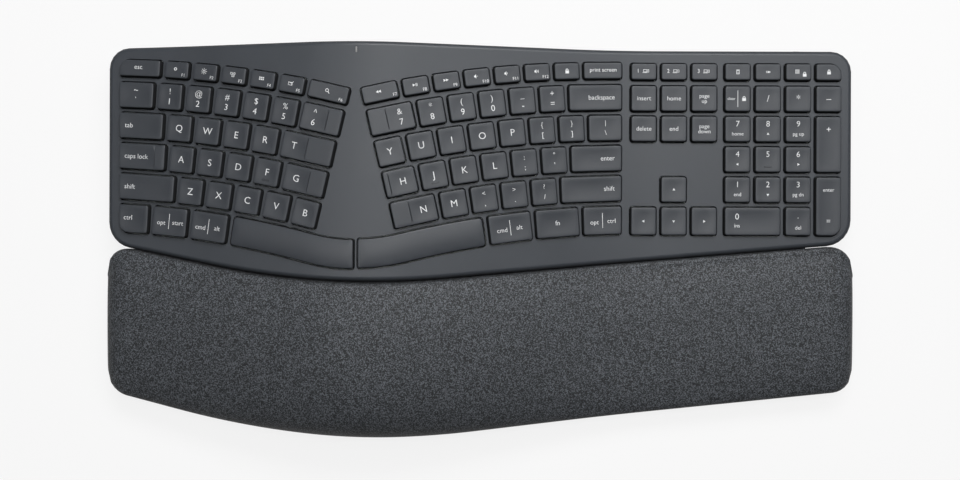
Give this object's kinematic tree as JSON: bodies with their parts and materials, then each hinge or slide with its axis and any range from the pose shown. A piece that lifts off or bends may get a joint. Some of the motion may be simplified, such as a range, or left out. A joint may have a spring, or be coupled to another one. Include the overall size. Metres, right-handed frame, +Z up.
{
  "type": "ergonomic split keyboard",
  "caption": "Full-size wireless split keyboard, arched key bed with a hump between the hands and a padded knit palm rest, fold-out palm-lift legs.",
  "frame": {"origin": "on the desk, under the centre of the bounding box", "axes": "+X to the typist's right, +Y away from the typist, +Z up"},
  "size_m": [0.456, 0.2349, 0.0486],
  "materials": {
    "base_plastic": "spark-eroded matt",
    "battery_jacket": "plain battery jacket",
    "board_laminate": "green laminate",
    "case_plastic": "fine matt texture",
    "contact_metal": "nickel-plated spring steel",
    "dome_rubber": "silicone rubber",
    "foam": "memory foam",
    "foot_rubber": "soft anti-slip rubber",
    "keycap_plastic": "fine matt texture, laser-marked or printed legends",
    "knit_fabric": "melange knit with light specks",
    "light_pipe": "frosted clear plastic",
    "membrane_film": "printed polyester film",
    "receiver_plastic": "plain",
    "steel": "zinc-coated steel",
    "switch_plastic": "plain"
  },
  "bodies": {
    "base": {"top_case": "case_plastic", "bottom_case": "base_plastic", "palm_rest_cover": "knit_fabric", "palm_rest_foam": "foam", "palm_rest_tray": "base_plastic", "key_plate": "steel", "membrane_circuit": "membrane_film", "rubber_domes": "dome_rubber", "case_screws": "steel", "batteries": "battery_jacket", "battery_contacts": "contact_metal", "usb_receiver": "receiver_plastic", "circuit_board": "board_laminate", "status_light_pipe": "light_pipe", "power_switch_body": "switch_plastic", "leg_pins": "steel", "rubber_feet": "foot_rubber"},
    "battery_door": {"battery_door": "base_plastic"},
    "power_switch_knob": {"power_switch_knob": "switch_plastic"},
    "tall_leg_left": {"tall_leg_left": "base_plastic", "tall_leg_left_pad": "foot_rubber"},
    "short_leg_left": {"short_leg_left": "base_plastic", "short_leg_left_pad": "foot_rubber"},
    "tall_leg_right": {"tall_leg_right": "base_plastic", "tall_leg_right_pad": "foot_rubber"},
    "short_leg_right": {"short_leg_right": "base_plastic", "short_leg_right_pad": "foot_rubber"},
    "escape_key": {"escape_key": "keycap_plastic"},
    "function_keys_left": {"function_keys_left": "keycap_plastic"},
    "number_keys_left": {"number_keys_left": "keycap_plastic"},
    "tab_key": {"tab_key": "keycap_plastic"},
    "upper_letters_left": {"upper_letters_left": "keycap_plastic"},
    "caps_lock_key": {"caps_lock_key": "keycap_plastic"},
    "home_letters_left": {"home_letters_left": "keycap_plastic"},
    "left_shift_key": {"left_shift_key": "keycap_plastic"},
    "lower_letters_left": {"lower_letters_left": "keycap_plastic"},
    "modifier_keys_left": {"modifier_keys_left": "keycap_plastic"},
    "system_keys": {"system_keys": "keycap_plastic"},
    "function_keys_right": {"function_keys_right": "keycap_plastic"},
    "backspace_key": {"backspace_key": "keycap_plastic"},
    "number_keys_right": {"number_keys_right": "keycap_plastic"},
    "upper_letters_right": {"upper_letters_right": "keycap_plastic"},
    "enter_key": {"enter_key": "keycap_plastic"},
    "home_letters_right": {"home_letters_right": "keycap_plastic"},
    "right_shift_key": {"right_shift_key": "keycap_plastic"},
    "lower_letters_right": {"lower_letters_right": "keycap_plastic"},
    "modifier_keys_right": {"modifier_keys_right": "keycap_plastic"},
    "device_keys": {"device_keys": "keycap_plastic"},
    "navigation_keys": {"navigation_keys": "keycap_plastic"},
    "arrow_keys": {"arrow_keys": "keycap_plastic"},
    "numpad_digit_keys": {"numpad_digit_keys": "keycap_plastic"},
    "utility_keys": {"utility_keys": "keycap_plastic"},
    "numpad_operators": {"numpad_operators": "keycap_plastic"},
    "numpad_plus_key": {"numpad_plus_key": "keycap_plastic"},
    "numpad_enter_key": {"numpad_enter_key": "keycap_plastic"},
    "numpad_zero_key": {"numpad_zero_key": "keycap_plastic"},
    "numpad_decimal_key": {"numpad_decimal_key": "keycap_plastic"},
    "left_space_bar": {"left_space_bar": "keycap_plastic"},
    "right_space_bar": {"right_space_bar": "keycap_plastic"}
  },
  "joints": [
    {"name": "escape_key_press", "type": "slide", "parent": "base", "child": "escape_key", "axis": [0.147, 0, -0.9891], "range_m": [0, 0.0018], "stiffness_N_per_m": 260, "springref_m": -0.001},
    {"name": "function_keys_left_press", "type": "slide", "parent": "base", "child": "function_keys_left", "axis": [0.1749, 0, -0.9846], "range_m": [0, 0.0018], "stiffness_N_per_m": 1560, "springref_m": -0.001},
    {"name": "number_keys_left_press", "type": "slide", "parent": "base", "child": "number_keys_left", "axis": [0.1731, 0, -0.9849], "range_m": [0, 0.0018], "stiffness_N_per_m": 1820, "springref_m": -0.001},
    {"name": "tab_key_press", "type": "slide", "parent": "base", "child": "tab_key", "axis": [0.1479, 0, -0.989], "range_m": [0, 0.0018], "stiffness_N_per_m": 260, "springref_m": -0.001},
    {"name": "upper_letters_left_press", "type": "slide", "parent": "base", "child": "upper_letters_left", "axis": [0.1878, 0, -0.9822], "range_m": [0, 0.0018], "stiffness_N_per_m": 1300, "springref_m": -0.001},
    {"name": "caps_lock_key_press", "type": "slide", "parent": "base", "child": "caps_lock_key", "axis": [0.1486, 0, -0.9889], "range_m": [0, 0.0018], "stiffness_N_per_m": 260, "springref_m": -0.001},
    {"name": "home_letters_left_press", "type": "slide", "parent": "base", "child": "home_letters_left", "axis": [0.1904, 0, -0.9817], "range_m": [0, 0.0018], "stiffness_N_per_m": 1300, "springref_m": -0.001},
    {"name": "left_shift_key_press", "type": "slide", "parent": "base", "child": "left_shift_key", "axis": [0.1518, 0, -0.9884], "range_m": [0, 0.0018], "stiffness_N_per_m": 260, "springref_m": -0.001},
    {"name": "lower_letters_left_press", "type": "slide", "parent": "base", "child": "lower_letters_left", "axis": [0.1909, 0, -0.9816], "range_m": [0, 0.0018], "stiffness_N_per_m": 1300, "springref_m": -0.001},
    {"name": "modifier_keys_left_press", "type": "slide", "parent": "base", "child": "modifier_keys_left", "axis": [0.1683, 0, -0.9857], "range_m": [0, 0.0018], "stiffness_N_per_m": 780, "springref_m": -0.001},
    {"name": "system_keys_press", "type": "slide", "parent": "base", "child": "system_keys", "axis": [-0.1585, 0, -0.9874], "range_m": [0, 0.0018], "stiffness_N_per_m": 520, "springref_m": -0.001},
    {"name": "function_keys_right_press", "type": "slide", "parent": "base", "child": "function_keys_right", "axis": [-0.177, 0, -0.9842], "range_m": [0, 0.0018], "stiffness_N_per_m": 1560, "springref_m": -0.001},
    {"name": "backspace_key_press", "type": "slide", "parent": "base", "child": "backspace_key", "axis": [-0.1376, 0, -0.9905], "range_m": [0, 0.0018], "stiffness_N_per_m": 260, "springref_m": -0.001},
    {"name": "number_keys_right_press", "type": "slide", "parent": "base", "child": "number_keys_right", "axis": [-0.184, 0, -0.9829], "range_m": [0, 0.0018], "stiffness_N_per_m": 1560, "springref_m": -0.001},
    {"name": "upper_letters_right_press", "type": "slide", "parent": "base", "child": "upper_letters_right", "axis": [-0.1754, 0, -0.9845], "range_m": [0, 0.0018], "stiffness_N_per_m": 2080, "springref_m": -0.001},
    {"name": "enter_key_press", "type": "slide", "parent": "base", "child": "enter_key", "axis": [-0.1352, 0, -0.9908], "range_m": [0, 0.0018], "stiffness_N_per_m": 260, "springref_m": -0.001},
    {"name": "home_letters_right_press", "type": "slide", "parent": "base", "child": "home_letters_right", "axis": [-0.1895, 0, -0.9819], "range_m": [0, 0.0018], "stiffness_N_per_m": 1560, "springref_m": -0.001},
    {"name": "right_shift_key_press", "type": "slide", "parent": "base", "child": "right_shift_key", "axis": [-0.1455, 0, -0.9894], "range_m": [0, 0.0018], "stiffness_N_per_m": 260, "springref_m": -0.001},
    {"name": "lower_letters_right_press", "type": "slide", "parent": "base", "child": "lower_letters_right", "axis": [-0.1942, 0, -0.981], "range_m": [0, 0.0018], "stiffness_N_per_m": 1300, "springref_m": -0.001},
    {"name": "modifier_keys_right_press", "type": "slide", "parent": "base", "child": "modifier_keys_right", "axis": [-0.1704, 0, -0.9854], "range_m": [0, 0.0018], "stiffness_N_per_m": 780, "springref_m": -0.001},
    {"name": "device_keys_press", "type": "slide", "parent": "base", "child": "device_keys", "axis": [-0.0125, 0, -0.9999], "range_m": [0, 0.0018], "stiffness_N_per_m": 780, "springref_m": -0.001},
    {"name": "navigation_keys_press", "type": "slide", "parent": "base", "child": "navigation_keys", "axis": [-0.0125, 0, -0.9999], "range_m": [0, 0.0018], "stiffness_N_per_m": 1560, "springref_m": -0.001},
    {"name": "arrow_keys_press", "type": "slide", "parent": "base", "child": "arrow_keys", "axis": [-0.0094, 0, -1], "range_m": [0, 0.0018], "stiffness_N_per_m": 1040, "springref_m": -0.001},
    {"name": "numpad_digit_keys_press", "type": "slide", "parent": "base", "child": "numpad_digit_keys", "axis": [0, 0, -1], "range_m": [0, 0.0018], "stiffness_N_per_m": 2340, "springref_m": -0.001},
    {"name": "utility_keys_press", "type": "slide", "parent": "base", "child": "utility_keys", "axis": [0, 0, -1], "range_m": [0, 0.0018], "stiffness_N_per_m": 1040, "springref_m": -0.001},
    {"name": "numpad_operators_press", "type": "slide", "parent": "base", "child": "numpad_operators", "axis": [0, 0, -1], "range_m": [0, 0.0018], "stiffness_N_per_m": 1040, "springref_m": -0.001},
    {"name": "numpad_plus_key_press", "type": "slide", "parent": "base", "child": "numpad_plus_key", "axis": [0, 0, -1], "range_m": [0, 0.0018], "stiffness_N_per_m": 260, "springref_m": -0.001},
    {"name": "numpad_enter_key_press", "type": "slide", "parent": "base", "child": "numpad_enter_key", "axis": [0, 0, -1], "range_m": [0, 0.0018], "stiffness_N_per_m": 260, "springref_m": -0.001},
    {"name": "numpad_zero_key_press", "type": "slide", "parent": "base", "child": "numpad_zero_key", "axis": [0, 0, -1], "range_m": [0, 0.0018], "stiffness_N_per_m": 260, "springref_m": -0.001},
    {"name": "numpad_decimal_key_press", "type": "slide", "parent": "base", "child": "numpad_decimal_key", "axis": [0, 0, -1], "range_m": [0, 0.0018], "stiffness_N_per_m": 260, "springref_m": -0.001},
    {"name": "left_space_bar_press", "type": "slide", "parent": "base", "child": "left_space_bar", "axis": [0, 0, -1], "range_m": [0, 0.0018], "stiffness_N_per_m": 420, "springref_m": -0.001},
    {"name": "right_space_bar_press", "type": "slide", "parent": "base", "child": "right_space_bar", "axis": [0, 0, -1], "range_m": [0, 0.0018], "stiffness_N_per_m": 420, "springref_m": -0.001},
    {"name": "tall_leg_left_fold", "type": "hinge", "parent": "base", "child": "tall_leg_left", "pos_m": [-0.15, -0.082, 0.0044], "axis": [-1, 0, 0], "range_deg": [0, 92]},
    {"name": "short_leg_left_fold", "type": "hinge", "parent": "base", "child": "short_leg_left", "pos_m": [-0.15, -0.082, 0.0044], "axis": [-1, 0, 0], "range_deg": [0, 92]},
    {"name": "tall_leg_right_fold", "type": "hinge", "parent": "base", "child": "tall_leg_right", "pos_m": [0.15, -0.082, 0.0044], "axis": [-1, 0, 0], "range_deg": [0, 92]},
    {"name": "short_leg_right_fold", "type": "hinge", "parent": "base", "child": "short_leg_right", "pos_m": [0.15, -0.082, 0.0044], "axis": [-1, 0, 0], "range_deg": [0, 92]},
    {"name": "power_switch_slide", "type": "slide", "parent": "base", "child": "power_switch_knob", "axis": [1, 0, 0], "range_m": [0, 0.003]},
    {"name": "battery_door_lift", "type": "slide", "parent": "base", "child": "battery_door", "axis": [0, 0, -1], "range_m": [0, 0.012]}
  ]
}
